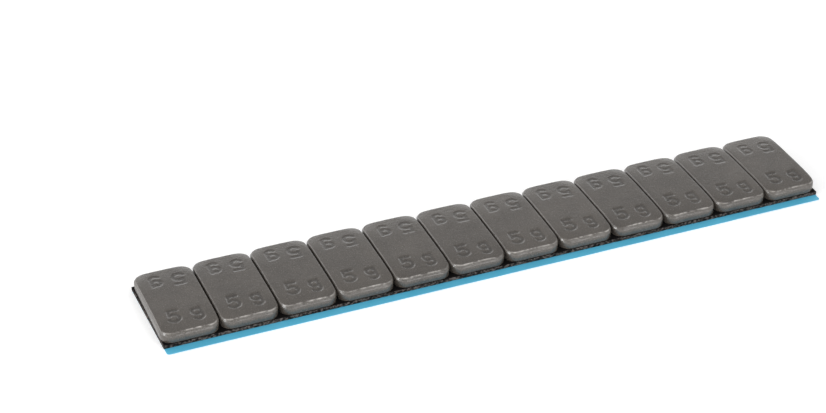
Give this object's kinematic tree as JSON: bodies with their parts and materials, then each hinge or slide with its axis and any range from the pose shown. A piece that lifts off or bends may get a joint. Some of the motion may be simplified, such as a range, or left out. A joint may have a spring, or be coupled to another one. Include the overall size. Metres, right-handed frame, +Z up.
{
  "type": "wheel balance weight",
  "caption": "Flat strip of rounded grey-coated steel segments on black foam tape with a blue peel-off liner, stuck inside a wheel rim to balance it.",
  "frame": {"origin": "middle of the strip's footprint, on the underside of the release liner", "axes": "+X along the strip, +Y away from the liner's peel edge, +Z up through the segments' marked faces"},
  "size_m": [0.1478, 0.0238, 0.0035],
  "materials": {
    "coated_steel": "dark grey powder coat, satin, fine grain",
    "black_foam": "matt black closed-cell foam",
    "blue_film": "satin light blue film"
  },
  "bodies": {
    "root": {"weight_segment_01": "coated_steel", "weight_segment_02": "coated_steel", "weight_segment_03": "coated_steel", "weight_segment_04": "coated_steel", "weight_segment_05": "coated_steel", "weight_segment_06": "coated_steel", "weight_segment_07": "coated_steel", "weight_segment_08": "coated_steel", "weight_segment_09": "coated_steel", "weight_segment_10": "coated_steel", "weight_segment_11": "coated_steel", "weight_segment_12": "coated_steel", "foam_tape": "black_foam", "release_liner": "blue_film"}
  },
  "joints": []
}
